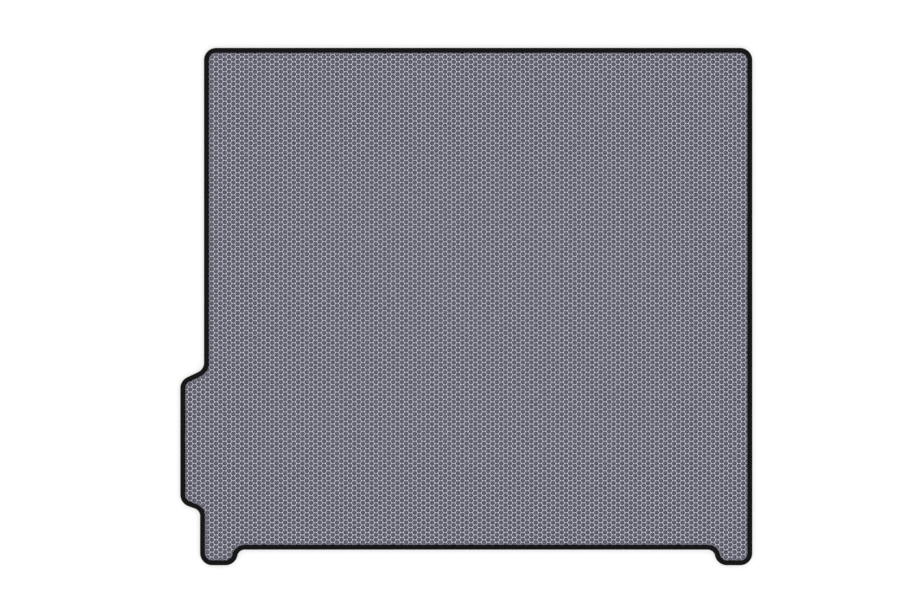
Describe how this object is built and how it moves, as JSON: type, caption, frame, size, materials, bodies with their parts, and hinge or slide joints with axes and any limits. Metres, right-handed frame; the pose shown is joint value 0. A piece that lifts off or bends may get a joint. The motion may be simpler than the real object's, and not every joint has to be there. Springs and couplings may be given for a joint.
{
  "type": "car boot liner",
  "caption": "Flat foam liner for the floor of a car's boot, pressed with open honeycomb cells on top and edged with a folded, sewn tape; a lobe and a sill notch fit it round the trim.",
  "frame": {"origin": "on the underside, halfway along the overall width and length", "axes": "+Z out of the honeycomb side, +Y forward to the rear seats, so -Y is the tailgate, +X across the boot, with the lobe on the -X side"},
  "size_m": [1.1, 0.995, 0.01],
  "materials": {
    "eva_foam": "matt closed-cell foam, mid grey",
    "edge_tape": "matt black woven tape"
  },
  "bodies": {
    "root": {"honeycomb_sheet": "eva_foam", "edge_tape": "edge_tape"}
  },
  "joints": []
}
